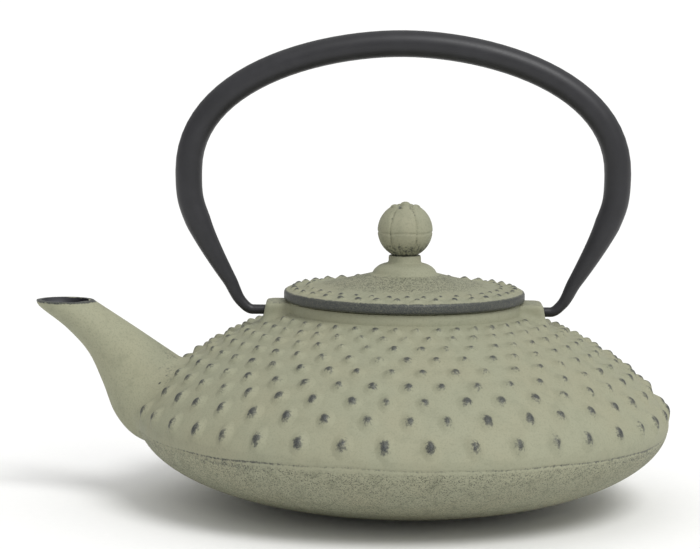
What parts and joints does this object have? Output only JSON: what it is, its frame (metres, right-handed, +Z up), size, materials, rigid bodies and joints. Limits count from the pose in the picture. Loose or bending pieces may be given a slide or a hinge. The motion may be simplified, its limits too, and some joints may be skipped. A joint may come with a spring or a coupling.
{
  "type": "teapot infuser",
  "caption": "Flat cast-iron teapot with a studded shoulder, upright spout, black swinging bail handle, ball-knobbed lid and lift-out infuser basket.",
  "frame": {"origin": "centre of the flat foot that the pot stands on", "axes": "+Z up, -X towards the spout, X along the handle's hinge line"},
  "size_m": [0.2479, 0.2084, 0.1851],
  "materials": {
    "green_iron": "matt sage enamel on sand-cast iron, worn dark on the high spots",
    "black_steel": "satin black lacquer",
    "bright_steel": "brushed stainless steel"
  },
  "bodies": {
    "pot": {"pot_body": "green_iron"},
    "handle": {"handle": "black_steel"},
    "infuser": {"infuser_rim": "bright_steel", "infuser_wall": "bright_steel", "infuser_hoop": "bright_steel", "infuser_floor": "bright_steel"},
    "lid": {"lid": "green_iron", "knob": "green_iron", "knob_screw": "bright_steel", "knob_washer": "bright_steel"}
  },
  "joints": [
    {"name": "handle_swing", "type": "hinge", "parent": "pot", "child": "handle", "pos_m": [0, 0, 0.0758], "axis": [1, 0, 0], "range_deg": [-102, 102]},
    {"name": "infuser_lift", "type": "slide", "parent": "pot", "child": "infuser", "axis": [0, 0, 1], "range_m": [0, 0.0545]},
    {"name": "lid_lift", "type": "slide", "parent": "infuser", "child": "lid", "axis": [0, 0, 1], "range_m": [0, 0.0545]}
  ]
}
